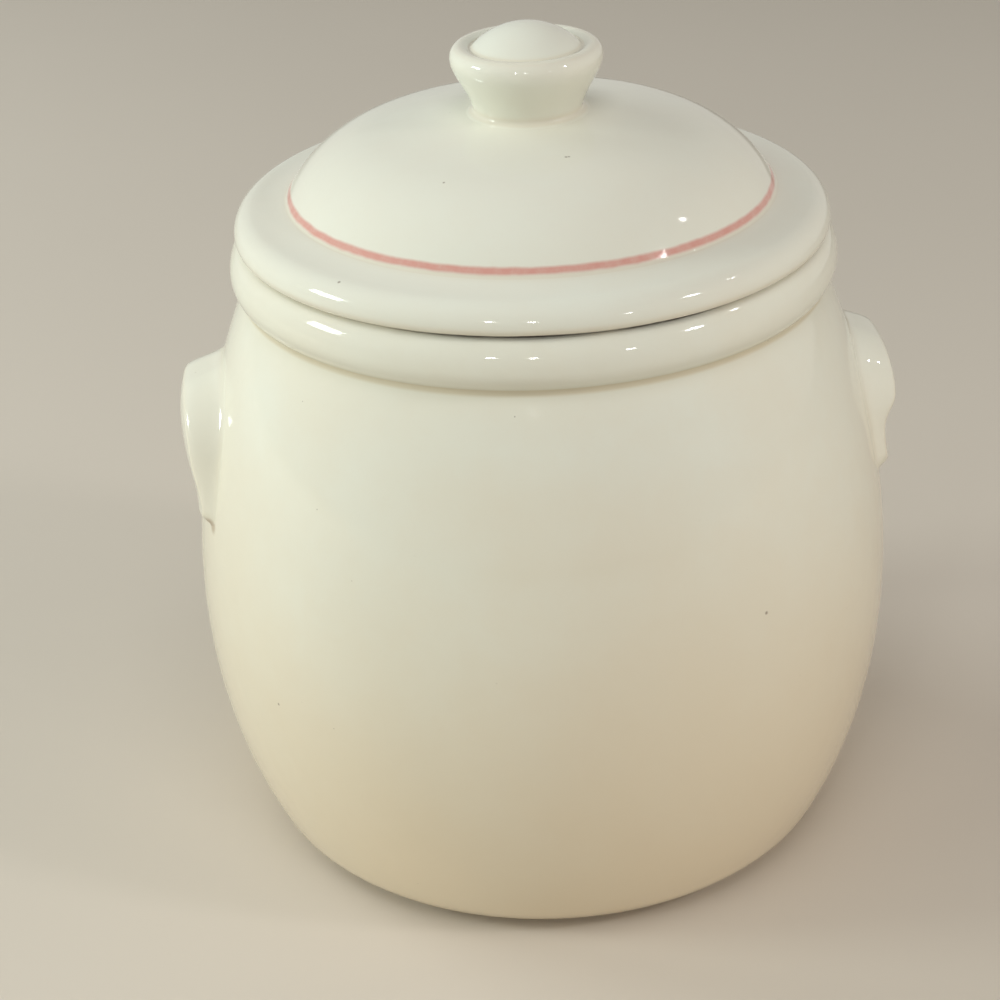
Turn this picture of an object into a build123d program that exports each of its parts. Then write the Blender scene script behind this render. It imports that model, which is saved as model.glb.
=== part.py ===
"""A glazed earthenware biscuit jar with two ear handles and a domed lid with a knob.

The origin is the centre of the foot, +Z is up and the handles stand on the X axis.
All sizes are in millimetres. Outlines are drawn as (radius, height) on the XZ plane.
"""

from build123d import *
import os
from math import acos, asin, cos, degrees, radians, sin

# ---------------------------------------------------------------- jar body

SEAT_Z = 195.0  # flat top of the rim, where the lid rests
WALL = 6.0
ROLL_RADIUS = 90.3  # widest point of the rolled rim
ROLL_Z = 185.4
ROLL_REACH = 6.8  # from the seat's outer edge out to the widest point
ROLL_UNDER_RADIUS = 6.9  # rounding of the roll's lower half
ROLL_UNDER_ANGLE = 56.0  # degrees that the lower half turns before it meets the crease
CREASE_ROUND = 1.5  # glaze that fills the crease between roll and neck
NECK = (87.2, 178.5)  # where the wall starts, under the roll
BELLY_HIGH = (109.3, 125.8)  # the two points that pull the wall outwards
BELLY_LOW = (117.3, 62.8)
HEEL = (92.3, 9.0)  # where the wall turns under towards the foot
FOOT_RADIUS = 81.0
FOOT_WIDTH = 6.0
FOOT_HEIGHT = 1.6
FOOT_EDGE_ROUND = 0.6
BASE_RECESS = 2.2  # hollow under the base, inside the foot ring
FLOOR_Z = 8.6
MOUTH_RADIUS = 77.5
LIP_ROUND = 2.0
THROAT_Z = 184.0  # lower end of the straight throat
INNER_NECK_Z = 176.5  # where the throat has flared out to the inner wall

# ---------------------------------------------------------------- lid

LID_RADIUS = 88.0
LID_WALL = 5.5
LID_EDGE_UNDER = 2.2  # rounding of the brim below its widest point
LID_EDGE_OVER = 6.8  # and above it
BRIM_SLOPE = 4.0  # degrees, where the brim runs into its rounded edge
DOME_APEX_Z = 229.7
CROWN_RADIUS = 216.0
CROWN_SLOPE = 12.5  # degrees, where the crown runs into the shoulder
SHOULDER_RADIUS = 38.5
DOME_FOOT_RADIUS = 72.0  # crease between the dome and the brim
LOCATING_RING_RADIUS = 76.0
LOCATING_RING_DEPTH = 11.0

# ---------------------------------------------------------------- knob

KNOB_FLARE_RADIUS = 18.0  # where the stem runs out on the dome
KNOB_TOE = ((16.7, 229.3), (15.7, 229.7))  # what pulls the toe in to the waist
KNOB_WAIST = (15.95, 230.6)
KNOB_CONE = ((17.54, 236.78), (22.25, 241.1))  # what pulls the stem out to its rim
KNOB_WIDEST = (22.25, 245.2)
KNOB_LIP = (19.2, 248.9)
KNOB_GROOVE = (16.3, 247.5)
KNOB_TOP_Z = 254.7

# ---------------------------------------------------------------- ear handles

EAR_TOP = (100.8, 156.0)
EAR_TOP_RUN = (1, -0.8)  # the direction in which the crown leaves its top
EAR_CROWN = (106.4, 148.5)
EAR_LIP = (109.7, 138.0)  # lower edge of the crown, where fingers hook in
EAR_LEG = (106.6, 129.0)
EAR_TOE = (107.9, 120.5)
EAR_FOOT_Z = 116.0
EAR_INSIDE_RADIUS = 85.0  # inside the wall, which cuts the ear off
EAR_TOP_HALF_WIDTH = 24.0
EAR_FOOT_HALF_WIDTH = 31.0
EAR_SHOULDER_ROUND = 18.0
EAR_FOOT_ROUND = 5.0
EAR_EDGE_ROUND = 2.2
HOLLOW_HALF_WIDTH = 19.0  # finger hollow between the legs
HOLLOW_TOP_Z = 134.0
HOLLOW_ROUND = 12.0
CUT_REACH = 130.0  # longer than the jar is wide from its axis

# ---------------------------------------------------------------- derived places

roll_centre = (ROLL_RADIUS - ROLL_UNDER_RADIUS, ROLL_Z)
seat_edge = (ROLL_RADIUS - ROLL_REACH, SEAT_Z)
crease = (
    roll_centre[0] + ROLL_UNDER_RADIUS * cos(radians(ROLL_UNDER_ANGLE)),
    roll_centre[1] - ROLL_UNDER_RADIUS * sin(radians(ROLL_UNDER_ANGLE)),
)

crown_centre = (0, DOME_APEX_Z - CROWN_RADIUS)
shoulder_offset = CROWN_RADIUS - SHOULDER_RADIUS
shoulder_centre = (
    shoulder_offset * sin(radians(CROWN_SLOPE)),
    crown_centre[1] + shoulder_offset * cos(radians(CROWN_SLOPE)),
)
dome_foot_angle = degrees(acos((DOME_FOOT_RADIUS - shoulder_centre[0]) / SHOULDER_RADIUS))
dome_foot = (
    DOME_FOOT_RADIUS,
    shoulder_centre[1] + SHOULDER_RADIUS * sin(radians(dome_foot_angle)),
)
edge_over_centre = (LID_RADIUS - LID_EDGE_OVER, SEAT_Z + LID_EDGE_UNDER)
edge_under_centre = (LID_RADIUS - LID_EDGE_UNDER, SEAT_Z + LID_EDGE_UNDER)
ring_inside = shoulder_centre[0] + SHOULDER_RADIUS - LID_WALL
ring_round = (LOCATING_RING_RADIUS - ring_inside) / 2
ring_round_z = SEAT_Z - LOCATING_RING_DEPTH + ring_round

flare_angle = degrees(acos(KNOB_FLARE_RADIUS / CROWN_RADIUS))
button_rise = KNOB_TOP_Z - KNOB_GROOVE[1]
button_radius = (KNOB_GROOVE[0] ** 2 + button_rise**2) / (2 * button_rise)
button_angle = degrees(asin((button_radius - button_rise) / button_radius))


def outer_wall():
    """Draw the outside of the jar's wall, from the neck down to the heel."""
    return Bezier(NECK, BELLY_HIGH, BELLY_LOW, HEEL)


def inner_wall():
    """Draw the inside of the jar's wall, from under the throat down to the floor."""
    return Bezier(
        (NECK[0] - WALL, INNER_NECK_Z),
        (BELLY_HIGH[0] - WALL, BELLY_HIGH[1]),
        (BELLY_LOW[0] - WALL, BELLY_LOW[1] + BASE_RECESS),
        (HEEL[0] - WALL, HEEL[1] + WALL),
    )


# ---------------------------------------------------------------- jar body, built

with BuildPart() as jar_body:
    with BuildSketch(Plane.XZ) as outside:
        with BuildLine():
            wall = outer_wall()
            heel_turn = TangentArc(
                wall @ 1, (FOOT_RADIUS + FOOT_HEIGHT, FOOT_HEIGHT), tangent=wall % 1
            )
            Polyline(
                heel_turn @ 1,
                (FOOT_RADIUS, FOOT_HEIGHT),
                (FOOT_RADIUS, 0),
                (FOOT_RADIUS - FOOT_WIDTH, 0),
                (FOOT_RADIUS - FOOT_WIDTH - BASE_RECESS, BASE_RECESS),
                (0, BASE_RECESS),
                (0, SEAT_Z),
                seat_edge,
            )
            EllipticalCenterArc(
                (seat_edge[0], ROLL_Z), ROLL_REACH, SEAT_Z - ROLL_Z, arc_size=90
            )
            CenterArc(roll_centre, ROLL_UNDER_RADIUS, 0, -ROLL_UNDER_ANGLE)
            Line(crease, NECK)
        make_face()
        fillet(outside.vertices().sort_by_distance(NECK)[:2], radius=CREASE_ROUND)
    revolve(axis=Axis.Z)
    fillet(jar_body.faces().sort_by(Axis.Z)[0].edges(), radius=FOOT_EDGE_ROUND)

    with BuildSketch(Plane.XZ):
        with BuildLine():
            wall = inner_wall()
            floor_turn = TangentArc(wall @ 1, (FOOT_RADIUS - WALL, FLOOR_Z), tangent=wall % 1)
            lip = CenterArc(
                (MOUTH_RADIUS + LIP_ROUND, SEAT_Z - LIP_ROUND), LIP_ROUND, 90, 90
            )
            Polyline(floor_turn @ 1, (0, FLOOR_Z), (0, SEAT_Z), lip @ 0)
            Polyline(lip @ 1, (MOUTH_RADIUS, THROAT_Z), wall @ 0)
        make_face()
    revolve(axis=Axis.Z, mode=Mode.SUBTRACT)

# ---------------------------------------------------------------- lid, built

with BuildPart() as lid:
    with BuildSketch(Plane.XZ):
        with BuildLine():
            crown = CenterArc(crown_centre, CROWN_RADIUS, 90 - CROWN_SLOPE, CROWN_SLOPE)
            CenterArc(
                shoulder_centre,
                SHOULDER_RADIUS,
                dome_foot_angle,
                90 - CROWN_SLOPE - dome_foot_angle,
            )
            edge_over = CenterArc(edge_over_centre, LID_EDGE_OVER, 0, 90 - BRIM_SLOPE)
            TangentArc(edge_over @ 1, dome_foot, tangent=edge_over % 1)
            edge_under = CenterArc(edge_under_centre, LID_EDGE_UNDER, 0, -90)
            Polyline(
                edge_under @ 1,
                (LOCATING_RING_RADIUS, SEAT_Z),
                (LOCATING_RING_RADIUS, ring_round_z),
            )
            CenterArc((ring_inside + ring_round, ring_round_z), ring_round, 0, -180)
            Line((ring_inside, ring_round_z), (ring_inside, shoulder_centre[1]))
            CenterArc(shoulder_centre, SHOULDER_RADIUS - LID_WALL, 0, 90 - CROWN_SLOPE)
            under_crown = CenterArc(
                crown_centre, CROWN_RADIUS - LID_WALL, 90 - CROWN_SLOPE, CROWN_SLOPE
            )
            Line(under_crown @ 1, crown @ 1)
        make_face()
    revolve(axis=Axis.Z)

# ---------------------------------------------------------------- knob, built

with BuildPart() as lid_knob:
    with BuildSketch(Plane.XZ):
        with BuildLine():
            seat = CenterArc(crown_centre, CROWN_RADIUS, flare_angle, 90 - flare_angle)
            Bezier(seat @ 0, *KNOB_TOE, KNOB_WAIST)
            Bezier(KNOB_WAIST, *KNOB_CONE, KNOB_WIDEST)
            EllipticalCenterArc(
                (KNOB_LIP[0], KNOB_WIDEST[1]),
                KNOB_WIDEST[0] - KNOB_LIP[0],
                KNOB_LIP[1] - KNOB_WIDEST[1],
                arc_size=90,
            )
            TangentArc(KNOB_LIP, KNOB_GROOVE, tangent=(-1, 0))
            button = CenterArc(
                (0, KNOB_TOP_Z - button_radius), button_radius, button_angle, 90 - button_angle
            )
            Line(button @ 1, seat @ 1)
        make_face()
    revolve(axis=Axis.Z)

# ---------------------------------------------------------------- ear handles, built

with BuildPart() as handle_right:
    # A band right round the jar, thick at the ear's crown and thinner at its legs.
    with BuildSketch(Plane.XZ):
        with BuildLine():
            crown_face = Spline(EAR_TOP, EAR_CROWN, EAR_LIP, tangents=(EAR_TOP_RUN, (0, -1)))
            leg_face = Spline(EAR_LIP, EAR_LEG, EAR_TOE, tangents=((0, -1), (0, -1)))
            Polyline(
                leg_face @ 1,
                (EAR_TOE[0], EAR_FOOT_Z),
                (EAR_INSIDE_RADIUS, EAR_FOOT_Z),
                (EAR_INSIDE_RADIUS, EAR_TOP[1]),
                crown_face @ 0,
            )
        make_face()
    revolve(axis=Axis.Z)
    # The arch that the band is trimmed to, seen along the X axis.
    with BuildSketch(Plane.YZ) as arch:
        with BuildLine():
            Polyline(
                (-EAR_FOOT_HALF_WIDTH, EAR_FOOT_Z),
                (EAR_FOOT_HALF_WIDTH, EAR_FOOT_Z),
                (EAR_TOP_HALF_WIDTH, EAR_TOP[1]),
                (-EAR_TOP_HALF_WIDTH, EAR_TOP[1]),
                close=True,
            )
        make_face()
        fillet(arch.vertices().group_by(Axis.Y)[-1], radius=EAR_SHOULDER_ROUND)
        fillet(arch.vertices().group_by(Axis.Y)[0], radius=EAR_FOOT_ROUND)
    extrude(amount=CUT_REACH, mode=Mode.INTERSECT)
    # The finger hollow between the legs, under the crown.
    with BuildSketch(Plane.YZ) as hollow:
        Rectangle(2 * HOLLOW_HALF_WIDTH, HOLLOW_TOP_Z, align=(Align.CENTER, Align.MIN))
        fillet(hollow.vertices().group_by(Axis.Y)[-1], radius=HOLLOW_ROUND)
    extrude(amount=CUT_REACH, mode=Mode.SUBTRACT)
    # The jar's wall, which the ear is luted to.
    with BuildSketch(Plane.XZ):
        with BuildLine():
            wall = outer_wall()
            Polyline(wall @ 1, (0, HEEL[1]), (0, NECK[1]), wall @ 0)
        make_face()
    revolve(axis=Axis.Z, mode=Mode.SUBTRACT)
    front = handle_right.faces().sort_by(Axis.X)[-1]
    wall_side = handle_right.faces().sort_by(Axis.X)[0]
    fillet(front.edges() - wall_side.edges(), radius=EAR_EDGE_ROUND)

with BuildPart() as handle_left:
    mirror(handle_right.part, about=Plane.YZ)

# ---------------------------------------------------------------- export

jar_body.part.label = "jar_body"
handle_left.part.label = "handle_left"
handle_right.part.label = "handle_right"
lid.part.label = "lid"
lid_knob.part.label = "lid_knob"

os.makedirs("parts", exist_ok=True)
export_step(jar_body.part, "parts/jar_body.step")
export_step(handle_left.part, "parts/handle_left.step")
export_step(handle_right.part, "parts/handle_right.step")
export_step(lid.part, "parts/lid.step")
export_step(lid_knob.part, "parts/lid_knob.step")
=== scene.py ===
"""A glazed biscuit jar: a bellied body, two ear handles and a domed lid with a knob.

The jar stands on the XY plane, +Z is up, and the ears stand on the X axis. Sizes are
millimetres and degrees where nothing else is said; MM turns them into the scene's metres.
"""

import logging
from dataclasses import dataclass, field
from enum import Enum
from math import acos, asin, cos, degrees, hypot, pi, radians, sin

import bmesh
import bpy
import numpy as np
from mathutils import Matrix, Vector


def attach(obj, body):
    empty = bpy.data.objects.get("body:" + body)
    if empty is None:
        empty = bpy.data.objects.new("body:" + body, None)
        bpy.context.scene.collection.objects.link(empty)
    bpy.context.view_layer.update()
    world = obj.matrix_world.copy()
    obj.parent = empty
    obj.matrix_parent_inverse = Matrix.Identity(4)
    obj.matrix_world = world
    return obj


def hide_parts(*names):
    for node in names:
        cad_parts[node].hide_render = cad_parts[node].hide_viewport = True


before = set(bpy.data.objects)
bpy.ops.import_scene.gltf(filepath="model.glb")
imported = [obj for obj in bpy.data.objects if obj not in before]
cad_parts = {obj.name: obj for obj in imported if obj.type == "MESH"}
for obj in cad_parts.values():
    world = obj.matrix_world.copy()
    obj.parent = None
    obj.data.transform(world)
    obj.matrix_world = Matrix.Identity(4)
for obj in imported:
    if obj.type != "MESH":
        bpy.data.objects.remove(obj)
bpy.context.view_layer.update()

Pair = tuple[float, float]
Trio = tuple[float, float, float]
Point = Pair
Place = Trio
Colour = Trio
Socket = bpy.types.NodeSocket
Value = Socket | float

MM = 0.001
RELIEF = "relief"  # where a mesh keeps how sharply it bends at each point
# Brown pooled glaze with painted shade, for the pit at the left ear's foot.
PIT_POOL_AND_SHADE: Colour = (150, 120, 84)
LAMPS_LOOK_AT: Place = (0, 0, 120)

# How far the middle of each ear stands off the wall: the height, and the distance there.
LEFT_FACE: tuple[Point, ...] = (
    (108, 2.2),
    (119, 3.2),
    (125, 4.6),
    (131, 6.9),
    (137, 8.6),
    (143, 10.1),
    (149, 10.9),
    (154, 10.7),
    (158, 9.2),
    (164, 6.0),
)
RIGHT_FACE: tuple[Point, ...] = (
    (108, 2.6),
    (119, 3.6),
    (126, 3.8),
    (131, 4.3),
    (134.5, 6.2),
    (137.5, 8.9),
    (140, 9.7),
    (143, 10.0),
    (146, 10.0),
    (149, 9.8),
    (154, 8.5),
    (158, 6.8),
    (164, 5.0),
)

log = logging.getLogger("biscuit_jar")


def linear(colour: Colour) -> tuple[float, float, float, float]:
    """Turn a colour as it is seen on a screen into the renderer's own scale.

    Args:
        colour: red, green and blue from 0 to 255.

    Returns:
        Red, green, blue and an alpha of 1, from 0 to 1.
    """
    shares = [part / 255 for part in colour]
    # The numbers are those of the sRGB standard.
    bright = [s / 12.92 if s <= 0.04045 else ((s + 0.055) / 1.055) ** 2.4 for s in shares]
    return (bright[0], bright[1], bright[2], 1.0)


class Side(Enum):
    """The side of the jar that an ear is on, as the sign of X."""

    LEFT = -1
    RIGHT = 1


# ---------------- half sections


@dataclass
class Outline:
    """A half section walked point by point: radius and height in millimetres."""

    points: list[Point] = field(default_factory=list)

    def to(self, radius: float, height: float) -> "Outline":
        """Go straight to a point and return the outline."""
        self.points.append((radius, height))
        return self

    def round(
        self, centre: Point, radii: Point, start: float, sweep: float, steps: int = 24
    ) -> "Outline":
        """Go round part of a circle or an ellipse.

        Args:
            centre: the middle of the round.
            radii: its reach along the radius and along the height.
            start: the first angle, counted from straight outwards.
            sweep: how far to turn, positive towards the top.
            steps: how many points to leave on it.

        Returns:
            The outline.
        """
        for step in range(steps + 1):
            turn = radians(start + sweep * step / steps)
            self.to(centre[0] + radii[0] * cos(turn), centre[1] + radii[1] * sin(turn))
        return self

    def pull(self, first: Point, second: Point, end: Point, steps: int = 90) -> "Outline":
        """Go to a point on one curve that two others pull on.

        Args:
            first: the point that pulls the start.
            second: the point that pulls the end.
            end: where the curve arrives.
            steps: how many points to leave on it.

        Returns:
            The outline.
        """
        start = self.points[-1]
        for step in range(1, steps + 1):
            t = step / steps
            weights = ((1 - t) ** 3, 3 * t * (1 - t) ** 2, 3 * t * t * (1 - t), t**3)
            corners = (start, first, second, end)
            self.to(
                sum(w * c[0] for w, c in zip(weights, corners)),
                sum(w * c[1] for w, c in zip(weights, corners)),
            )
        return self

    def melted(self, reach: float, spacing: float = 0.2) -> "Outline":
        """Soften every corner, as glaze does when it melts over an edge.

        Args:
            reach: how far the softening reaches along the outline.
            spacing: the step at which it is worked out.

        Returns:
            A new outline, closely spaced.
        """
        line = np.array(self.points)
        gaps = np.hypot(*np.diff(line, axis=0).T)
        along = np.concatenate([[0.0], np.cumsum(gaps)])
        even = np.linspace(0, along[-1], int(along[-1] / spacing) + 1)
        walk = np.stack([np.interp(even, along, line[:, 0]), np.interp(even, along, line[:, 1])])
        half = int(3 * reach / spacing)
        kernel = np.exp(-0.5 * (np.arange(-half, half + 1) * spacing / reach) ** 2)
        kernel /= kernel.sum()
        # The ends lie on the jar's axis, where the section is mirrored to stay level.
        before, after = walk[:, half:0:-1].copy(), walk[:, -2 : -half - 2 : -1].copy()
        before[0] *= -1
        after[0] *= -1
        padded = np.concatenate([before, walk, after], axis=1)
        soft = np.stack([np.convolve(row, kernel, mode="valid") for row in padded])
        return Outline([(float(r), float(z)) for r, z in soft.T])

    def thinned(self, turn: float = 4.0, run: float = 4.0) -> "Outline":
        """Keep only the points that the shape needs.

        Args:
            turn: the most that the outline may turn between two points.
            run: the longest straight run.

        Returns:
            A new outline.
        """
        kept = [self.points[0]]
        turned = 0.0
        for before, here, after in zip(self.points, self.points[1:], self.points[2:]):
            one = Vector((here[0] - before[0], here[1] - before[1]))
            two = Vector((after[0] - here[0], after[1] - here[1]))
            if one.length > 0 and two.length > 0:
                turned += degrees(one.angle(two))
            if turned >= turn or hypot(here[0] - kept[-1][0], here[1] - kept[-1][1]) >= run:
                kept.append(here)
                turned = 0.0
        kept.append(self.points[-1])
        return Outline(kept)


# ---------------- shaping clay


@dataclass(frozen=True)
class Wheel:
    """Turns half sections into solids and finishes their surfaces.

    The wall of a turned piece is slightly oval and slightly three-lobed, and both slowly
    twist with the height.
    """

    sides: int = 216
    wobble: float = 0.07
    lobe_share: float = 0.6
    oval_twist: float = 90.0
    lobe_twist: float = 41.0
    calm_radius: float = 60.0
    on_axis: float = 0.02

    def throw(self, name: str, outline: Outline, seed: float) -> bpy.types.Object:
        """Turn a half section about the jar's axis.

        Args:
            name: what the piece is called.
            outline: the section, starting and ending on the axis.
            seed: where the slight unevenness of the turned wall starts.

        Returns:
            The piece.
        """
        form = bmesh.new()
        rings: list[list[bmesh.types.BMVert]] = []
        for radius, height in outline.points:
            if radius < self.on_axis:
                rings.append([form.verts.new((0, 0, height * MM))])
                continue
            ring = []
            share = min(1, radius / self.calm_radius)
            for side in range(self.sides):
                turn = 2 * pi * side / self.sides
                reach = (radius - self._unevenness(turn, height, seed) * share) * MM
                ring.append(form.verts.new((reach * cos(turn), reach * sin(turn), height * MM)))
            rings.append(ring)
        for lower, upper in zip(rings, rings[1:]):
            self._skin(form, lower, upper)
        bmesh.ops.recalc_face_normals(form, faces=form.faces)
        return self.fire(name, form)

    def _unevenness(self, turn: float, height: float, seed: float) -> float:
        """How far the wall stands back here, in millimetres."""
        oval = sin(2 * turn + seed + height / self.oval_twist)
        lobes = sin(3 * turn - seed + height / self.lobe_twist)
        most = 1 + self.lobe_share
        return self.wobble * (most + oval + self.lobe_share * lobes) / (2 * most)

    def _skin(
        self,
        form: bmesh.types.BMesh,
        lower: list[bmesh.types.BMVert],
        upper: list[bmesh.types.BMVert],
    ) -> None:
        """Join two neighbouring rings with faces."""
        for side in range(self.sides):
            after = (side + 1) % self.sides
            if len(lower) == 1:
                form.faces.new((lower[0], upper[after], upper[side]))
            elif len(upper) == 1:
                form.faces.new((lower[side], lower[after], upper[0]))
            else:
                form.faces.new((lower[side], lower[after], upper[after], upper[side]))

    def fire(self, name: str, form: bmesh.types.BMesh) -> bpy.types.Object:
        """Turn a worked mesh into a smooth piece that knows its own edges.

        Args:
            name: what the piece is called.
            form: the mesh, which is used up.

        Returns:
            The piece.
        """
        mesh = bpy.data.meshes.new(name)
        form.to_mesh(mesh)
        form.free()
        mesh.polygons.foreach_set("use_smooth", [True] * len(mesh.polygons))
        mesh.update()
        self._feel_edges(mesh)
        piece = bpy.data.objects.new(name, mesh)
        bpy.context.scene.collection.objects.link(piece)
        return piece

    @staticmethod
    def _feel_edges(mesh: bpy.types.Mesh, rounds: int = 3) -> None:
        """Store how sharply each point bends: above 0 on edges, below 0 in creases.

        Args:
            mesh: the mesh, which gets a value at each point.
            rounds: how often the values are evened out with their neighbours'.
        """
        none_yet, no_length = 1e9, 1e-6
        count = len(mesh.vertices)
        places = np.zeros(count * 3)
        mesh.vertices.foreach_get("co", places)
        places = places.reshape(-1, 3) / MM
        normals = np.array([v.normal for v in mesh.vertices])
        pairs = np.zeros(len(mesh.edges) * 2, int)
        mesh.edges.foreach_get("vertices", pairs)
        one, two = pairs.reshape(-1, 2).T
        apart = places[one] - places[two]
        length = np.maximum(np.sum(apart**2, axis=1), no_length)
        bend = np.full(count, -none_yet)
        dip = np.full(count, none_yet)
        for here, way in ((one, apart), (two, -apart)):
            amount = 2 * np.sum(normals[here] * way, axis=1) / length
            np.maximum.at(bend, here, amount)
            np.minimum.at(dip, here, amount)
        relief = np.where(np.abs(bend) > np.abs(dip), bend, dip)
        ties = np.bincount(pairs, minlength=count)
        for _ in range(rounds):
            total = np.bincount(one, relief[two], count) + np.bincount(two, relief[one], count)
            relief = 0.5 * relief + 0.5 * total / np.maximum(ties, 1)
        held = mesh.attributes.new(RELIEF, "FLOAT", "POINT")
        held.data.foreach_set("value", np.clip(relief, -1, 1).astype(np.float32))


# ---------------- finishes


class Bench:
    """One material's nodes, laid out with short calls."""

    def __init__(self, name: str) -> None:
        """Start a material with only its shader."""
        self.material = bpy.data.materials.new(name)
        self.material.use_nodes = True
        self.tree = self.material.node_tree
        self.shader = self.tree.nodes["Principled BSDF"]
        self.place = self.node("ShaderNodeTexCoord").outputs["Object"]

    def node(self, kind: str, *values: Value | tuple, **settings: object) -> bpy.types.Node:
        """Add a node and set it up.

        Args:
            kind: Blender's name for it.
            values: what goes into its first sockets, in their order.
            settings: its own settings by name.

        Returns:
            The node.
        """
        made = self.tree.nodes.new(kind)
        for name, value in settings.items():
            setattr(made, name, value)
        for socket, value in zip(made.inputs, values):
            self.feed(socket, value)
        return made

    def feed(self, socket: Socket, value: Value | tuple) -> None:
        """Link a socket to another one, or set it."""
        if isinstance(value, bpy.types.NodeSocket):
            self.tree.links.new(value, socket)
        else:
            socket.default_value = value

    def maths(self, operation: str, *numbers: Value) -> Socket:
        """Work out a sum by Blender's name for it and return the answer's socket."""
        return self.node("ShaderNodeMath", *numbers, operation=operation).outputs[0]

    def times(self, first: Value, second: Value) -> Socket:
        """Multiply two numbers and return the answer's socket."""
        return self.maths("MULTIPLY", first, second)

    def fade(
        self, value: Value, low: float, high: float, start: float = 0, end: float = 1
    ) -> Socket:
        """Fade softly from one number to another.

        Args:
            value: what the fade follows.
            low: where it starts; it may lie above high.
            high: where it ends.
            start: the answer at low.
            end: the answer at high.

        Returns:
            The answer's socket.
        """
        numbers = (value, low, high, start, end)
        made = self.node("ShaderNodeMapRange", *numbers, interpolation_type="SMOOTHSTEP")
        return made.outputs[0]

    def noise(self, size: float, detail: float = 2, rough: float = 0.5, warp: float = 0) -> Socket:
        """A cloudy pattern.

        Args:
            size: how large its patches are, in millimetres.
            detail: how many finer layers it has.
            rough: how strong those layers are.
            warp: how much it is twisted.

        Returns:
            A socket from 0 to 1.
        """
        made = self.node("ShaderNodeTexNoise", self.place)
        self.feed(made.inputs["Scale"], 1 / (size * MM))
        self.feed(made.inputs["Detail"], detail)
        self.feed(made.inputs["Roughness"], rough)
        self.feed(made.inputs["Distortion"], warp)
        return made.outputs["Fac"]

    def mix(self, amount: Value, under: Value | tuple, over: Value | tuple) -> Socket:
        """Lay one colour over another and return the result's socket."""
        made = self.node("ShaderNodeMix", amount, data_type="RGBA")
        # A mix node keeps its two colours in sockets 6 and 7, and the result in socket 2.
        self.feed(made.inputs[6], under)
        self.feed(made.inputs[7], over)
        return made.outputs[2]

    def dots(self, spacing: float, radius: float, share: float) -> Socket:
        """Scattered round dots of uneven size.

        Args:
            spacing: how far apart they could be, in millimetres.
            radius: how large the largest are, in millimetres.
            share: how many of those places hold a dot, from 0 to 1.

        Returns:
            A socket that is 1 in a dot.
        """
        smallest, core = 0.4, 0.45
        made = self.node("ShaderNodeTexVoronoi", self.place)
        self.feed(made.inputs["Scale"], 1 / (spacing * MM))
        parts = self.node("ShaderNodeSeparateColor", made.outputs["Color"])
        chosen = self.maths("LESS_THAN", parts.outputs[0], share)
        size = self.maths("MULTIPLY_ADD", parts.outputs[1], 1 - smallest, smallest)
        near = self.maths("DIVIDE", made.outputs["Distance"], size)
        return self.times(self.fade(near, radius / spacing, core * radius / spacing), chosen)

    def spot(self, centre: Place, inner: float, outer: float) -> Socket:
        """One soft round mark at a place on the piece.

        Args:
            centre: the place, in millimetres.
            inner: the radius within which it is full.
            outer: the radius at which it ends.

        Returns:
            A socket that is 1 in the mark.
        """
        middle = [part * MM for part in centre]
        away = self.node("ShaderNodeVectorMath", self.place, middle, operation="DISTANCE")
        return self.fade(away.outputs["Value"], outer * MM, inner * MM)

    def bump(self, height: Value, depth: float, under: Socket | None = None) -> Socket:
        """Raise the surface a little.

        Args:
            height: the pattern, from 0 to 1.
            depth: how high 1 stands, in millimetres.
            under: the normal that it is added to.

        Returns:
            The new normal.
        """
        made = self.node("ShaderNodeBump")
        self.feed(made.inputs["Height"], height)
        self.feed(made.inputs["Distance"], depth * MM)
        if under is not None:
            self.feed(made.inputs["Normal"], under)
        return made.outputs["Normal"]


@dataclass(frozen=True)
class Band:
    """A band right round the jar, with soft and slightly ragged edges.

    It lies from bottom to top above the foot, and further from the axis than inner.
    """

    bottom: float
    top: float
    inner: float = 0.0
    soft: float = 0.1
    ragged: float = 0.5
    waves: float = 6.0

    def mask(self, bench: Bench) -> Socket:
        """How much of the band lies at each place.

        Args:
            bench: the material that it is in.

        Returns:
            A socket from 0 to 1.
        """
        x, y, z = bench.node("ShaderNodeSeparateXYZ", bench.place).outputs
        flat = bench.node("ShaderNodeCombineXYZ", x, y).outputs[0]
        reach = bench.node("ShaderNodeVectorMath", flat, operation="LENGTH").outputs["Value"]
        sway = bench.maths("SUBTRACT", bench.noise(self.waves, 3), 0.5)
        level = bench.maths("ADD", z, bench.times(sway, self.ragged * MM))
        soft = self.soft
        under = bench.fade(level, (self.top + soft) * MM, (self.top - soft) * MM)
        over = bench.fade(level, (self.bottom - soft) * MM, (self.bottom + soft) * MM)
        outside = bench.fade(reach, (self.inner - soft) * MM, (self.inner + soft) * MM)
        return bench.times(bench.times(under, over), outside)


@dataclass(frozen=True)
class PaintedLine:
    """A thin line brushed on under the glaze while the piece turned."""

    middle: float = 207.4
    half_height: float = 0.86
    blur: float = 0.5
    ragged: float = 0.6
    colour: Colour = (211, 151, 139)
    streaks: float = 3.2
    thinnest: float = 0.78
    fullest: float = 0.96

    def mask(self, bench: Bench) -> Socket:
        """How much paint lies at each place, as a socket from 0 to 1."""
        low, high = self.middle - self.half_height, self.middle + self.half_height
        band = Band(low, high, soft=self.blur, ragged=self.ragged)
        streaks = bench.noise(self.streaks, 4, 0.6)
        load = bench.fade(streaks, 0.2, 0.7, self.thinnest, self.fullest)
        return bench.times(band.mask(bench), load)


@dataclass(frozen=True)
class Mark:
    """A small round blemish: its place on the piece and its radius, in millimetres."""

    x: float
    y: float
    z: float
    radius: float
    strength: float = 0.6
    colour: Colour = (112, 92, 72)
    core: float = 0.35

    def mask(self, bench: Bench) -> Socket:
        """How much of the blemish lies at each place, as a socket from 0 to 1."""
        spot = bench.spot((self.x, self.y, self.z), self.core * self.radius, self.radius)
        return bench.times(spot, self.strength)


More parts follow.
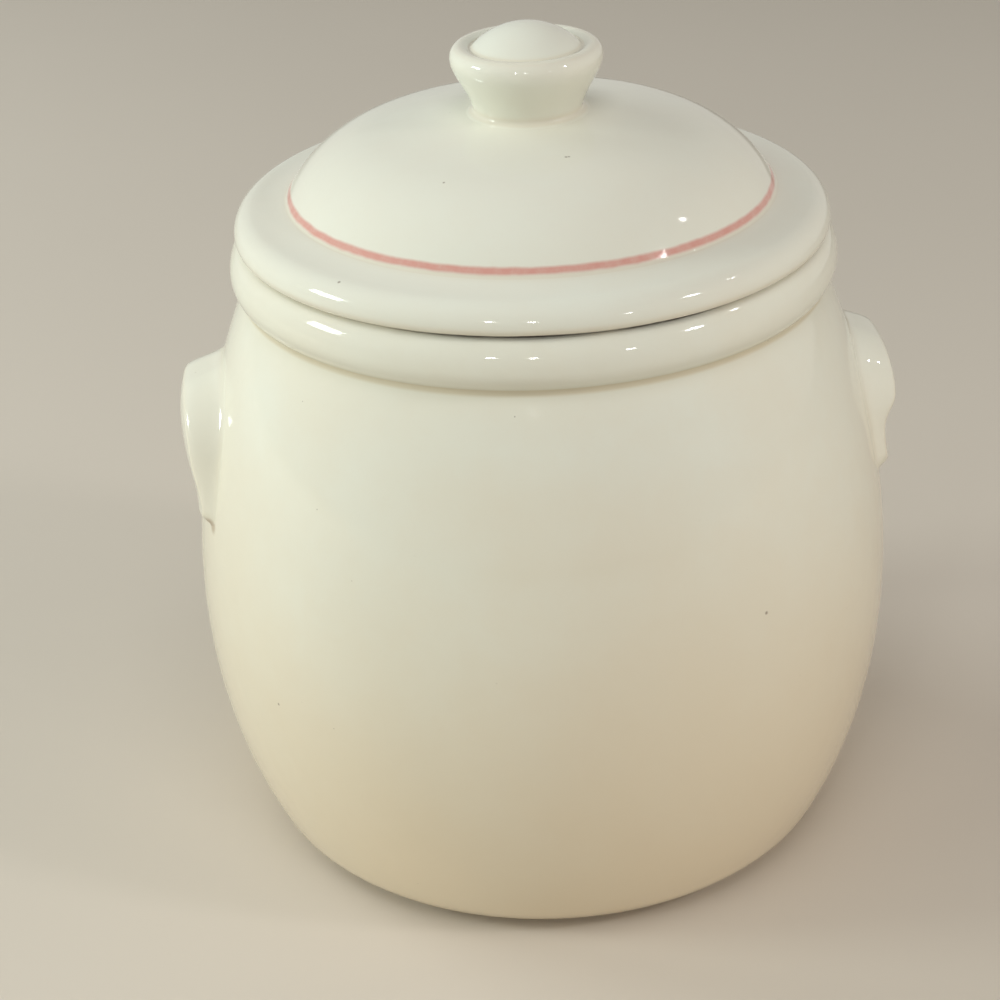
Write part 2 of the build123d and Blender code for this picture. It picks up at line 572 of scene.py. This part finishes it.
@dataclass(frozen=True)
class Glaze:
    """A glossy cream glaze over a pale clay, with its specks, thin edges and bare feet.

    Clouds, mottling and grain are given as the size of a patch and a strength, waves and
    grit as a size and a depth, and pinholes and specks as a spacing, a radius and the share
    of the places that hold one. The painted gap shade's reach is its full and its outer
    radius. Creases get pooled glaze with painted shade, and the colour low down gets painted
    warm bounce light.
    """

    name: str
    polished: float = 0.045
    dull: float = 0.08
    edge_dulling: float = 0.05
    clay_roughness: float = 0.85
    # How rough the glaze is under the painted gap shade.
    gap_shade_roughness: float = 0.7
    refraction: float = 1.5
    clouds: Pair = (95, 0.5)
    mottling: Pair = (13, 0.2)
    grain: Pair = (1.1, 0.12)
    waves: tuple[Pair, Pair] = ((8.5, 0.05), (1.6, 0.006))
    grit: Pair = (0.5, 0.12)
    pinholes: Trio = (9, 0.3, 0.35)
    pinhole_depth: float = 0.05
    specks: Trio = (8, 0.3, 0.45)
    speck_strength: float = 0.5
    edge_strength: float = 0.5
    crease_shade_strength: float = 0.75
    cream: Colour = (227, 229, 216)
    warm: Colour = (225, 219, 202)
    thin: Colour = (220, 206, 182)
    # Pooled glaze with painted shade: the colour that creases get.
    pooled_and_shaded: Colour = (208, 197, 168)
    # Painted warm bounce light, stronger towards the bottom: its colour, share and heights.
    bounce_tint: Colour = (225, 203, 168)
    bounce_share: float = 0.0
    bounce_top: float = 185.0
    bounce_bottom: float = 12.0
    speck: Colour = (104, 84, 64)
    clay: Colour = (216, 199, 170)
    # Painted shade in the gap between lid and rim: its colour, its heart at the front, reach and
    # share elsewhere.
    gap_shade: Colour = (62, 47, 34)
    gap_shade_heart: Place = (6, -86, 195)
    gap_shade_reach: Pair = (26, 60)
    gap_shade_elsewhere: float = 0.22
    marks: tuple[Mark, ...] = ()
    bare: tuple[Band, ...] = ()
    # Bands of painted shade along the gap between lid and rim.
    gap_shade_bands: tuple[Band, ...] = ()
    line: PaintedLine | None = None

    def make(self) -> bpy.types.Material:
        """Mix the glaze and return it as a material."""
        bench = Bench(self.name)
        relief = bench.node("ShaderNodeAttribute", attribute_name=RELIEF).outputs["Fac"]
        worn = bench.fade(bench.noise(9, 3), 0.2, 0.8, 0.55, 1)
        edge = bench.times(bench.fade(relief, 0.1, 0.6), worn)
        colour = self._spoil(bench, self._coat(bench, relief, edge))
        shine = bench.fade(bench.noise(34, 3, 0.6), 0.2, 0.8, self.polished, self.dull)
        shine = bench.maths("ADD", shine, bench.times(edge, self.edge_dulling))
        normal = self._surface(bench)

        bare = self._sum(bench, self.bare)
        if bare is not None:
            dust = bench.fade(bench.noise(0.7, 3, 0.7), 0.3, 0.7)
            dusty = bench.mix(dust, linear(self.clay), linear(self.thin))
            colour = bench.mix(bare, colour, dusty)
            shine = bench.maths("MAXIMUM", shine, bench.times(bare, self.clay_roughness))
            grit = bench.times(bench.noise(self.grit[0], 3, 0.8), bare)
            normal = bench.bump(grit, self.grit[1], normal)
        # Painted shade in the gap between lid and rim, darkest at the front, made matte too.
        gap_dark = self._sum(bench, self.gap_shade_bands)
        if gap_dark is not None:
            gap_dark = bench.times(gap_dark, self._gap_shading(bench))
            colour = bench.mix(gap_dark, colour, linear(self.gap_shade))
            shine = bench.maths("MAXIMUM", shine, bench.times(gap_dark, self.gap_shade_roughness))
        looks = {"Base Color": colour, "Roughness": shine, "Normal": normal}
        for name, value in looks.items():
            bench.feed(bench.shader.inputs[name], value)
        bench.shader.inputs["IOR"].default_value = self.refraction
        return bench.material

    def _surface(self, bench: Bench) -> Socket:
        """The slight waves and pinholes of the glaze, as a normal."""
        (broad, high), (fine, low) = self.waves
        normal = bench.bump(bench.noise(broad, 1.5, 0.4), high)
        normal = bench.bump(bench.noise(fine, 2, 0.5), low, normal)
        pits = bench.dots(*self.pinholes)
        return bench.bump(bench.maths("SUBTRACT", 1.0, pits), self.pinhole_depth, normal)

    def _gap_shading(self, bench: Bench) -> Socket:
        """How dark the painted gap shade is: dark near its heart, pale elsewhere, patchy
        throughout.
        """
        near = bench.spot(self.gap_shade_heart, *self.gap_shade_reach)
        least = self.gap_shade_elsewhere
        gap_shaded = bench.maths("MULTIPLY_ADD", near, 1 - least, least)
        patchy = bench.fade(bench.noise(22, 3, 0.6), 0.3, 0.62, 0.4, 1)
        return bench.times(gap_shaded, patchy)

    def _coat(self, bench: Bench, relief: Socket, edge: Socket) -> Socket:
        """The glaze's own colour with the paint under it, painted crease shade and bounce light.

        Args:
            bench: the material.
            relief: how sharply each place bends.
            edge: how thin the glaze is on an edge.

        Returns:
            The colour's socket.
        """
        thin, warm = linear(self.thin), linear(self.warm)
        size, strength = self.clouds
        clouds = bench.times(bench.fade(bench.noise(size, 2, 0.5, 0.4), 0.3, 0.7), strength)
        size, strength = self.mottling
        mottle = bench.times(bench.fade(bench.noise(size, 4, 0.62), 0.25, 0.75), strength)
        size, strength = self.grain
        grain = bench.fade(bench.noise(size, 2, 0.7), 0.55, 0.9, 0, strength)
        # Creases get the deeper colour of pooled glaze together with painted shade.
        crease_shade = bench.times(bench.fade(relief, -0.05, -0.5), self.crease_shade_strength)
        colour = bench.mix(clouds, linear(self.cream), warm)
        colour = bench.mix(mottle, colour, warm)
        # Painted warm bounce light: the colour grows warmer and darker towards the bottom.
        if self.bounce_share:
            level = bench.node("ShaderNodeSeparateXYZ", bench.place).outputs["Z"]
            low = bench.fade(level, self.bounce_top * MM, self.bounce_bottom * MM)
            colour = bench.mix(bench.times(low, self.bounce_share), colour, linear(self.bounce_tint))
        colour = bench.mix(bench.times(edge, self.edge_strength), colour, thin)
        colour = bench.mix(crease_shade, colour, linear(self.pooled_and_shaded))
        if self.line is not None:
            colour = bench.mix(self.line.mask(bench), colour, linear(self.line.colour))
        return bench.mix(grain, colour, thin)

    def _spoil(self, bench: Bench, colour: Socket) -> Socket:
        """Add iron specks here and there, and the marks that have a place of their own."""
        stains = bench.times(bench.dots(*self.specks), self.speck_strength)
        colour = bench.mix(stains, colour, linear(self.speck))
        for mark in self.marks:
            colour = bench.mix(mark.mask(bench), colour, linear(mark.colour))
        return colour

    @staticmethod
    def _sum(bench: Bench, bands: tuple[Band, ...]) -> Socket | None:
        """All of some bands in one mask, or None if there are none."""
        total: Socket | None = None
        for band in bands:
            mask = band.mask(bench)
            total = mask if total is None else bench.maths("MAXIMUM", total, mask)
        return total


# ---------------- the pieces


@dataclass
class Vessel:
    """The jar itself: rolled rim, belly, heel, foot ring and hollow."""

    seat_z: float = 195.0
    wall: float = 6.0
    roll: Point = (90.3, 185.4)
    roll_reach: float = 6.8
    roll_under: float = 6.9
    roll_under_turn: float = 56.0
    neck: Point = (87.2, 178.5)
    belly_high: Point = (109.3, 125.8)
    belly_low: Point = (117.3, 62.8)
    heel: Point = (92.3, 9.0)
    foot_radius: float = 81.0
    foot_width: float = 6.0
    foot_height: float = 1.6
    recess: float = 2.2
    floor_z: float = 8.6
    mouth: float = 77.5
    lip: float = 2.0
    throat_z: float = 184.0
    inner_neck_z: float = 176.5
    floor_run: float = 5.5
    inner_heel_run: Point = (2.6, 3.6)
    heel_run: Point = (2.4, 4.6)
    foot_run: Point = (4.6, 0.4)
    foot_shelf: float = 1.0
    melt: float = 0.55
    seed: float = 0.8

    def section(self) -> Outline:
        """The jar's half section, from the middle of its floor over the rim to its base."""
        line = Outline()
        line.to(0, self.floor_z)
        line.to(self.foot_radius - self.wall, self.floor_z)
        inner_heel = (self.heel[0] - self.wall, self.heel[1] + self.wall)
        line.pull(
            (self.foot_radius - self.wall + self.floor_run, self.floor_z),
            (inner_heel[0] - self.inner_heel_run[0], inner_heel[1] - self.inner_heel_run[1]),
            inner_heel,
            steps=20,
        )
        line.pull(
            (self.belly_low[0] - self.wall, self.belly_low[1] + self.recess),
            (self.belly_high[0] - self.wall, self.belly_high[1]),
            (self.neck[0] - self.wall, self.inner_neck_z),
        )
        line.to(self.mouth, self.throat_z)
        lip = (self.mouth + self.lip, self.seat_z - self.lip)
        line.round(lip, (self.lip, self.lip), 180, -90)
        over = (self.roll[0] - self.roll_reach, self.roll[1])
        line.to(over[0], self.seat_z)
        line.round(over, (self.roll_reach, self.seat_z - self.roll[1]), 90, -90)
        under = (self.roll[0] - self.roll_under, self.roll[1])
        line.round(under, (self.roll_under, self.roll_under), 0, -self.roll_under_turn)
        line.to(*self.neck)
        line.pull(self.belly_high, self.belly_low, self.heel)
        line.pull(
            (self.heel[0] - self.heel_run[0], self.heel[1] - self.heel_run[1]),
            (self.foot_radius + self.foot_run[0], self.foot_height + self.foot_run[1]),
            (self.foot_radius + self.foot_shelf, self.foot_height),
            steps=20,
        )
        line.to(self.foot_radius, self.foot_height).to(self.foot_radius, 0)
        line.to(self.foot_radius - self.foot_width, 0)
        line.to(self.foot_radius - self.foot_width - self.recess, self.recess)
        line.to(0, self.recess)
        return line

    def wall_radius(self, heights: np.ndarray) -> np.ndarray:
        """The outside radius of the belly at some heights, in millimetres."""
        belly = Outline([self.neck]).pull(self.belly_high, self.belly_low, self.heel, steps=240)
        line = np.array(belly.points)[::-1]
        return np.interp(heights, line[:, 1], line[:, 0])

    def build(self, wheel: Wheel) -> bpy.types.Object:
        """Make the jar's mesh and put it in its place."""
        section = self.section().melted(self.melt).thinned()
        piece = wheel.throw("jar_shell", section, self.seed)
        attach(piece, "jar")
        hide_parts("jar_body")
        return piece

    def dress(self, piece: bpy.types.Object) -> None:
        """Glaze the jar, all but the foot that it was fired on."""
        glaze = Glaze(
            "jar_glaze",
            warm=(223, 215, 194),
            # Painted warm bounce light low on the belly.
            bounce_share=0.62,
            marks=(
                Mark(-84.9, -65.7, 74.2, 0.65),
                Mark(54.6, -90.9, 107.8, 0.75),
                # The pit at the left ear's foot: pooled glaze with painted shade.
                Mark(-101.2, -28.4, 115.2, 3.4, 0.5, PIT_POOL_AND_SHADE),
            ),
            bare=(Band(-5.0, 0.75, 60.0),),
            # Painted shade along the rim where the lid sits.
            gap_shade_bands=(Band(194.5, 196.0, 83.6, soft=0.15, ragged=0.3),),
        )
        piece.data.materials.append(glaze.make())


@dataclass
class Ear:
    """An ear handle: a crown to hook fingers under, on two short legs."""

    side: Side
    top_z: float
    foot_z: float
    face: tuple[Point, ...]
    face_melt: float
    top_half_width: float = 24.5
    foot_half_width: float = 31.0
    shoulder: float = 20.0
    toe: float = 6.0
    flare: Pair = (-0.3, 1.3)
    bow: float = 0.1
    hollow_half_width: float = 19.0
    hollow_depth: float = 60.0
    hollow_top: float = 133.0
    hollow_shoulder: float = 12.0
    hollow_toe: float = 0.1
    hollow_edge_round: float = 4.0
    flank_slope: float = 3.2
    flank_reach: float = 0.8
    flank_inset: float = 0.6
    edge_round: float = 5.0
    bed: float = 0.2
    skim: float = 0.02
    margin: float = 5.0
    pitch: float = 0.45
    marks: tuple[Mark, ...] = ()

    def build(self, vessel: Vessel, wheel: Wheel) -> bpy.types.Object:
        """Model the ear on the jar's wall.

        Args:
            vessel: the jar that it is luted to.
            wheel: what finishes its surface.

        Returns:
            The piece.
        """
        reach = self.foot_half_width + self.margin
        across = np.arange(-reach, reach + self.pitch, self.pitch)
        up = np.arange(self.foot_z - self.margin, self.top_z + self.margin, self.pitch)
        y, z = np.meshgrid(across, up)
        rise = self._rise(y, z)
        wall = vessel.wall_radius(z)
        x = np.sqrt((wall + rise) ** 2 - y**2)
        shown = rise > -self.bed + self.skim
        form = bmesh.new()
        grid: dict[tuple[int, int], bmesh.types.BMVert] = {}

        def corner(row: int, column: int) -> bmesh.types.BMVert:
            """The point of the grid, made when it is first asked for."""
            key = (row, column)
            if key not in grid:
                out = self.side.value * MM
                grid[key] = form.verts.new((out * x[key], out * y[key], z[key] * MM))
            return grid[key]

        for row in range(len(up) - 1):
            for column in range(len(across) - 1):
                if shown[row : row + 2, column : column + 2].any():
                    around = ((row, column), (row, column + 1), (row + 1, column + 1))
                    form.faces.new([corner(*key) for key in (*around, (row + 1, column))])
        side = self.side.name.lower()
        piece = wheel.fire(f"ear_{side}", form)
        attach(piece, "jar")
        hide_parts(f"handle_{side}")
        return piece

    def _rise(self, y: np.ndarray, z: np.ndarray) -> np.ndarray:
        """How far the ear stands off the wall, in millimetres, below 0 beyond its edge."""
        spread = np.clip((z - self.foot_z) / (self.top_z - self.foot_z), *self.flare)
        half = self.foot_half_width + (self.top_half_width - self.foot_half_width) * spread
        inside = -self._away(y, z, half, self.foot_z, self.top_z, self.shoulder, self.toe)
        hollow = (self.foot_z - self.hollow_depth, self.hollow_top)
        rounds = (self.hollow_shoulder, self.hollow_toe)
        outside = self._away(y, z, self.hollow_half_width, *hollow, *rounds)
        face = self._face(z) * (1 - self.bow * (y / self.foot_half_width) ** 2)
        rise = self._least(face, self._flank(inside), self.edge_round)
        rise = self._least(rise, self._flank(outside), self.hollow_edge_round)
        return rise - self.bed

    def _face(self, z: np.ndarray, step: float = 0.25, half: int = 24) -> np.ndarray:
        """The height of the ear's face over the wall, smoothed along the height.

        Args:
            z: where it is wanted.
            step: the spacing at which it is worked out.
            half: how many such steps the smoothing reaches each way.

        Returns:
            The heights, in millimetres.
        """
        knots = np.array(self.face)
        spare = 8  # more than the smoothing reaches, so that its ends are cut off
        levels = np.arange(z.min() - spare, z.max() + spare, step)
        run = np.interp(levels, knots[:, 0], knots[:, 1])
        kernel = np.exp(-0.5 * (np.arange(-half, half + 1) * step / self.face_melt) ** 2)
        soft = np.convolve(run, kernel / kernel.sum(), mode="same")
        return np.interp(z, levels[half:-half], soft[half:-half])

    def _flank(self, inside: np.ndarray) -> np.ndarray:
        """A steep side that runs out softly on to the wall."""
        run = np.logaddexp(0, (inside - self.flank_inset) / self.flank_reach)
        return self.flank_slope * self.flank_reach * run

    @staticmethod
    def _least(one: np.ndarray, two: np.ndarray, blend: float) -> np.ndarray:
        """The lower of two surfaces, rounded where they meet."""
        near = np.maximum(blend - np.abs(one - two), 0) / blend
        return np.minimum(one, two) - near**2 * blend / 4

    @staticmethod
    def _away(
        y: np.ndarray,
        z: np.ndarray,
        half: np.ndarray | float,
        low: float,
        high: float,
        over: float,
        under: float,
    ) -> np.ndarray:
        """Distance from an arch with rounded corners, below 0 inside it.

        Args:
            y: places across the ear.
            z: places up the ear.
            half: the arch's half width there.
            low: the height of its lower end.
            high: the height of its top.
            over: the rounding of its upper corners.
            under: the rounding of its lower corners.

        Returns:
            The distances, in millimetres.
        """
        middle = (low + high) / 2
        corner = np.where(z > middle, over, under)
        dy = np.abs(y) - half + corner
        dz = np.abs(z - middle) - (high - low) / 2 + corner
        outer = np.hypot(np.maximum(dy, 0), np.maximum(dz, 0))
        return outer + np.minimum(np.maximum(dy, dz), 0) - corner

    def dress(self, piece: bpy.types.Object) -> None:
        """Glaze the ear like the jar."""
        # Painted warm bounce light low on the ear.
        glaze = Glaze(f"{piece.name}_glaze", bounce_share=0.5, marks=self.marks)
        piece.data.materials.append(glaze.make())


@dataclass
class Cover:
    """The lid: dome, brim, rounded edge and the ring that keeps it on the mouth."""

    seat_z: float = 195.0
    radius: float = 88.0
    wall: float = 5.5
    edge_under: float = 2.2
    edge_over: float = 6.8
    brim_slope: float = 4.0
    apex_z: float = 229.7
    crown: float = 216.0
    crown_slope: float = 12.5
    shoulder: float = 38.5
    dome_foot: float = 72.0
    ring: float = 76.0
    ring_depth: float = 11.0
    melt: float = 0.45
    seed: float = 2.9

    def section(self) -> Outline:
        """The lid's half section, from the dome's underside round to its apex."""
        crown_z = self.apex_z - self.crown
        offset = self.crown - self.shoulder
        slope = radians(self.crown_slope)
        middle = (offset * sin(slope), crown_z + offset * cos(slope))
        top_turn = 90 - self.crown_slope
        foot_turn = degrees(acos((self.dome_foot - middle[0]) / self.shoulder))
        ring_in = middle[0] + self.shoulder - self.wall
        ring_round = (self.ring - ring_in) / 2
        ring_z = self.seat_z - self.ring_depth + ring_round
        line = Outline()
        inner = self.crown - self.wall
        line.round((0, crown_z), (inner, inner), 90, -self.crown_slope, steps=60)
        inner = self.shoulder - self.wall
        line.round(middle, (inner, inner), top_turn, -top_turn, steps=50)
        line.to(ring_in, ring_z)
        line.round((ring_in + ring_round, ring_z), (ring_round, ring_round), 180, 180)
        line.to(self.ring, self.seat_z)
        under = (self.radius - self.edge_under, self.seat_z + self.edge_under)
        line.round(under, (self.edge_under, self.edge_under), -90, 90)
        over = (self.radius - self.edge_over, self.seat_z + self.edge_under)
        line.round(over, (self.edge_over, self.edge_over), 0, 90 - self.brim_slope)
        foot = (self.dome_foot, middle[1] + self.shoulder * sin(radians(foot_turn)))
        self._brim(line, foot)
        outer = (self.shoulder, self.shoulder)
        line.round(middle, outer, foot_turn, top_turn - foot_turn, steps=60)
        outer = (self.crown, self.crown)
        line.round((0, crown_z), outer, top_turn, self.crown_slope, steps=60)
        return line

    def _brim(self, line: Outline, foot: Point) -> None:
        """Add the brim: one arc that leaves the edge smoothly and ends at the dome's foot."""
        start = line.points[-1]
        way = (-cos(radians(self.brim_slope)), sin(radians(self.brim_slope)))
        chord = (foot[0] - start[0], foot[1] - start[1])
        across = way[0] * chord[1] - way[1] * chord[0]
        reach = (chord[0] ** 2 + chord[1] ** 2) / (2 * across)
        centre = (start[0] - way[1] * reach, start[1] + way[0] * reach)
        first = degrees(np.arctan2(start[1] - centre[1], start[0] - centre[0]))
        last = degrees(np.arctan2(foot[1] - centre[1], foot[0] - centre[0]))
        sweep = (last - first + 180) % 360 - 180
        line.round(centre, (abs(reach), abs(reach)), first, sweep)

    def build(self, wheel: Wheel) -> bpy.types.Object:
        """Make the lid's mesh and put it in its place."""
        section = self.section().melted(self.melt).thinned()
        piece = wheel.throw("lid_shell", section, self.seed)
        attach(piece, "lid")
        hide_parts("lid")
        return piece

    def dress(self, piece: bpy.types.Object) -> None:
        """Glaze the lid over its painted line, all but the seat that it was fired on."""
        glaze = Glaze(
            "lid_glaze",
            marks=(
                Mark(7.0, -36.2, 226.5, 0.6),
                Mark(7.8, -36.1, 226.5, 0.5),
                Mark(-58.1, -59.9, 203.6, 0.65),
                Mark(-27.5, -42.2, 223.5, 0.5),
            ),
            line=PaintedLine(),
            # Creases get pooled glaze with painted shade.
            pooled_and_shaded=(220, 213, 194),
            bare=(Band(180.0, 185.0, 60.0), Band(194.6, 195.3, 76.6)),
            # Painted shade along the lid's edge where it sits on the rim.
            gap_shade_bands=(Band(194.0, 195.7, 84.6, soft=0.2, ragged=0.3),),
        )
        piece.data.materials.append(glaze.make())


@dataclass
class Knob:
    """The knob: a flared stem, a rounded rim, a groove and a domed button."""

    apex_z: float = 229.7
    crown: float = 216.0
    flare: float = 18.0
    toe: tuple[Point, Point] = ((18.3, 228.8), (15.6, 229.2))
    waist: Point = (15.95, 230.6)
    cone: tuple[Point, Point] = ((17.54, 236.78), (22.2, 241.1))
    widest: Point = (22.2, 245.2)
    lip: Point = (19.2, 248.9)
    groove: Point = (16.3, 247.5)
    top_z: float = 254.7
    sunk: float = 1.6
    toe_start: Point = (3.0, 0.5)
    lip_run: float = 1.2
    groove_run: Point = (0.5, 0.6)
    melt: float = 0.4
    seed: float = 5.1

    def section(self) -> Outline:
        """The knob's half section, from inside the dome round to its top."""
        dome_z = self.apex_z - self.crown + (self.crown**2 - self.flare**2) ** 0.5
        rise = self.top_z - self.groove[1]
        button = (self.groove[0] ** 2 + rise**2) / (2 * rise)
        line = Outline()
        # The stem starts in the dome's wall, so that its toe runs out on the dome with no edge.
        line.to(0, dome_z - self.sunk)
        line.to(self.flare + self.toe_start[0], dome_z - self.toe_start[1])
        line.pull(*self.toe, self.waist, steps=30)
        line.pull(*self.cone, self.widest, steps=30)
        rim = (self.widest[0] - self.lip[0], self.lip[1] - self.widest[1])
        line.round((self.lip[0], self.widest[1]), rim, 0, 90)
        line.pull(
            (self.lip[0] - self.lip_run, self.lip[1]),
            (self.groove[0] + self.groove_run[0], self.groove[1] + self.groove_run[1]),
            self.groove,
            steps=10,
        )
        slope = degrees(asin((button - rise) / button))
        line.round((0, self.top_z - button), (button, button), slope, 90 - slope, steps=40)
        return line

    def build(self, wheel: Wheel) -> bpy.types.Object:
        """Make the knob's mesh and put it in its place."""
        section = self.section().melted(self.melt).thinned(run=1.5)
        piece = wheel.throw("knob", section, self.seed)
        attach(piece, "lid")
        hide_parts("lid_knob")
        return piece

    def dress(self, piece: bpy.types.Object) -> None:
        """Glaze the knob like the lid."""
        # Creases get pooled glaze with painted shade.
        piece.data.materials.append(Glaze("knob_glaze", pooled_and_shaded=(221, 215, 196)).make())


# ---------------- the studio


@dataclass(frozen=True)
class Lamp:
    """A panel lamp that looks at the jar.

    Its place is given by the compass: degrees round the jar from the right ear, and
    degrees above the table. Its distance and size are metres, and its power is watts. A
    lamp that isn't mirrored lights the jar softly without showing as a panel in the glaze.
    """

    name: str
    bearing: float
    above: float
    distance: float
    width: float
    height: float
    power: float
    mirrored: bool = True
    tint: Colour = (255, 255, 255)

    def hang(self, target: Vector) -> None:
        """Hang the lamp and turn it to a point, in metres."""
        data = bpy.data.lights.new(self.name, "AREA")
        data.shape = "RECTANGLE"
        data.size = self.width
        data.size_y = self.height
        data.energy = self.power
        data.color = linear(self.tint)[:3]
        lamp = bpy.data.objects.new(self.name, data)
        turn, lift = radians(self.bearing), radians(self.above)
        way = Vector((cos(turn) * cos(lift), sin(turn) * cos(lift), sin(lift)))
        lamp.location = target + way * self.distance
        lamp.rotation_mode = "QUATERNION"
        lamp.rotation_quaternion = (-way).to_track_quat("-Z", "Y")
        lamp.visible_glossy = self.mirrored
        bpy.context.scene.collection.objects.link(lamp)


@dataclass
class Studio:
    """The pale table top, the lamps, the pale surroundings and the camera.

    Pan, pitch and roll are radians, and the table top's radius is metres.
    """

    camera_distance: float = 643.2
    camera_height: float = 440.2
    jar_turn: float = 5.0
    pan: float = -0.020
    pitch: float = 0.485
    roll: float = -0.042
    lens: float = 82.8
    sensor: float = 36.0
    floor_radius: float = 2.0
    floor_colour: Colour = (212, 203, 190)
    floor_clouds: Colour = (206, 197, 184)
    cloud_size: float = 420.0
    floor_roughness: float = 0.6
    sky_colour: Colour = (206, 202, 194)
    sky_fill: float = 0.25

    def lay_floor(self) -> None:
        """Lay a plain pale table top."""
        form = bmesh.new()
        bmesh.ops.create_circle(form, cap_ends=True, segments=64, radius=self.floor_radius)
        mesh = bpy.data.meshes.new("table_top")
        form.to_mesh(mesh)
        form.free()
        table = bpy.data.objects.new("table_top", mesh)
        bpy.context.scene.collection.objects.link(table)
        bench = Bench("pale_table")
        clouds = bench.noise(self.cloud_size, 3)
        cloudy = bench.mix(clouds, linear(self.floor_colour), linear(self.floor_clouds))
        bench.feed(bench.shader.inputs["Base Color"], cloudy)
        bench.shader.inputs["Roughness"].default_value = self.floor_roughness
        mesh.materials.append(bench.material)

    def hang_lamps(self, target: Vector) -> None:
        """Hang the soft lamps that light the jar and the small ones that show in its glaze."""
        lamps = (
            Lamp("soft_left", -166, 15, 1.9, 1.0, 0.9, 8.6, mirrored=False, tint=(245, 255, 250)),
            Lamp("soft_right", -22, 15, 1.9, 1.0, 0.9, 9, mirrored=False, tint=(255, 246, 238)),
            Lamp("soft_above", -95, 62, 1.9, 1.0, 1.0, 9.5, mirrored=False),
            Lamp("soft_behind", 150, 30, 1.9, 1.0, 1.0, 13, mirrored=False, tint=(246, 253, 255)),
            Lamp("small_left", -178, 23, 1.7, 0.42, 0.3, 8.0, tint=(245, 255, 250)),
            Lamp("small_middle", -111, 22, 1.7, 0.1, 0.1, 1.1),
            Lamp("small_front", -96, 21, 1.7, 0.1, 0.1, 1.0),
            Lamp("small_near", -61, 21, 1.7, 0.08, 0.08, 0.6),
            Lamp("small_right", -31, 35, 1.7, 0.16, 0.13, 3.4),
            Lamp("small_far", -1, 43, 1.9, 0.07, 0.07, 0.5),
        )
        for lamp in lamps:
            lamp.hang(target)

    def surround(self) -> None:
        """Put pale surroundings round the jar that show fully but light it only faintly."""
        world = bpy.data.worlds.new("surroundings")
        world.use_nodes = True
        bpy.context.scene.world = world
        tree = world.node_tree
        sky = tree.nodes["Background"]
        sky.inputs["Color"].default_value = linear(self.sky_colour)
        path = tree.nodes.new("ShaderNodeLightPath")
        shown = path.outputs["Is Camera Ray"]
        for way in ("Is Glossy Ray", "Is Transmission Ray"):
            either = tree.nodes.new("ShaderNodeMath")
            either.operation = "MAXIMUM"
            tree.links.new(shown, either.inputs[0])
            tree.links.new(path.outputs[way], either.inputs[1])
            shown = either.outputs[0]
        strength = tree.nodes.new("ShaderNodeMapRange")
        tree.links.new(shown, strength.inputs["Value"])
        strength.inputs["To Min"].default_value = self.sky_fill
        strength.inputs["To Max"].default_value = 1.0
        tree.links.new(strength.outputs[0], sky.inputs["Strength"])

    def set_camera(self) -> None:
        """Stand the camera a little above the lid and look down at the belly."""
        pan, pitch, roll = self.pan, self.pitch, self.roll
        ahead = Vector((sin(pan) * cos(pitch), cos(pan) * cos(pitch), -sin(pitch)))
        right = Vector((cos(pan), -sin(pan), 0))
        above = right.cross(ahead)
        leaning_right = right * cos(roll) + above * sin(roll)
        leaning_above = above * cos(roll) - right * sin(roll)
        view = Matrix((leaning_right, leaning_above, -ahead)).transposed().to_4x4()
        view.translation = Vector((0, -self.camera_distance, self.camera_height)) * MM
        data = bpy.data.cameras.new("camera")
        data.sensor_width = self.sensor
        data.lens = self.lens
        camera = bpy.data.objects.new("camera", data)
        camera.matrix_world = Matrix.Rotation(radians(-self.jar_turn), 4, "Z") @ view
        bpy.context.scene.collection.objects.link(camera)
        bpy.context.scene.camera = camera


@dataclass
class BiscuitJar:
    """The whole jar, put together from its pieces."""

    vessel: Vessel = field(default_factory=Vessel)
    ears: tuple[Ear, Ear] = (
        Ear(
            Side.LEFT,
            top_z=156.8,
            foot_z=114.6,
            face=LEFT_FACE,
            face_melt=2.2,
            # The pit at the ear's foot: pooled glaze with painted shade.
            marks=(Mark(-101.6, -27.6, 115.6, 3.4, 0.5, PIT_POOL_AND_SHADE),),
        ),
        Ear(Side.RIGHT, top_z=156.2, foot_z=117.2, face=RIGHT_FACE, face_melt=1.2),
    )
    cover: Cover = field(default_factory=Cover)
    knob: Knob = field(default_factory=Knob)
    wheel: Wheel = field(default_factory=Wheel)

    def build(self) -> list[bpy.types.Object]:
        """Build and dress every piece, in the order that a potter would."""
        made = [(self.vessel, self.vessel.build(self.wheel))]
        made += [(ear, ear.build(self.vessel, self.wheel)) for ear in self.ears]
        made += [(part, part.build(self.wheel)) for part in (self.cover, self.knob)]
        for part, piece in made:
            part.dress(piece)
        return [piece for _, piece in made]


def main() -> None:
    """Build the jar, light it and set up the camera."""
    logging.basicConfig(level=logging.INFO, format="%(name)s: %(message)s")
    for piece in BiscuitJar().build():
        log.info("%s: %d faces", piece.name, len(piece.data.polygons))
    studio = Studio()
    studio.lay_floor()
    studio.hang_lamps(Vector(LAMPS_LOOK_AT) * MM)
    studio.surround()
    studio.set_camera()
    bpy.context.scene.view_settings.view_transform = "Standard"


if __name__ == "__main__":
    main()
